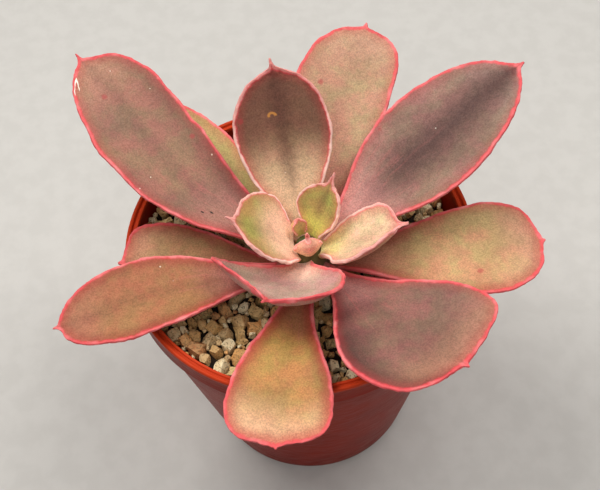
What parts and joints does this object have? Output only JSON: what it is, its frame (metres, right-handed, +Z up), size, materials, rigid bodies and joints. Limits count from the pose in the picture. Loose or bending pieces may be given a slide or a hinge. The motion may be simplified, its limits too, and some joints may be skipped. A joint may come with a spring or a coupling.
{
  "type": "potted succulent",
  "caption": "Open rosette of broad, spine-tipped succulent leaves in a tapered round nursery pot with a gravel top dressing.",
  "frame": {"origin": "centre of the pot's underside, on the surface it stands on", "axes": "+Z up along the pot's axis, -Y towards the front, +X to the right as seen from the front"},
  "size_m": [0.1473, 0.1309, 0.1454],
  "materials": {
    "pot": "satin terracotta-coloured plastic",
    "potting_mix": "matte",
    "gravel": "rough, matte",
    "stem": "matte",
    "leaf_tan": "satin, waxy bloom",
    "leaf_olive": "satin, waxy bloom",
    "leaf_rose": "satin, waxy bloom",
    "leaf_mauve": "satin, waxy bloom",
    "leaf_dark": "satin, waxy bloom",
    "leaf_green": "satin, waxy bloom"
  },
  "bodies": {
    "root": {"pot": "pot", "potting_mix": "potting_mix", "gravel": "gravel", "stem": "stem", "lower_leaf_left": "leaf_tan", "lower_leaf_front_left": "leaf_tan", "lower_leaf_front": "leaf_tan", "lower_leaf_front_right": "leaf_tan", "lower_leaf_right": "leaf_tan", "lower_leaf_back_left": "leaf_olive", "main_leaf_back": "leaf_rose", "main_leaf_back_left": "leaf_mauve", "main_leaf_back_right": "leaf_mauve", "main_leaf_front_right": "leaf_mauve", "upper_leaf_back": "leaf_dark", "upper_leaf_front": "leaf_rose", "inner_leaf_left": "leaf_green", "inner_leaf_right": "leaf_rose", "inner_leaf_back": "leaf_green", "heart_leaf_left": "leaf_green", "heart_leaf_front": "leaf_rose"}
  },
  "joints": []
}
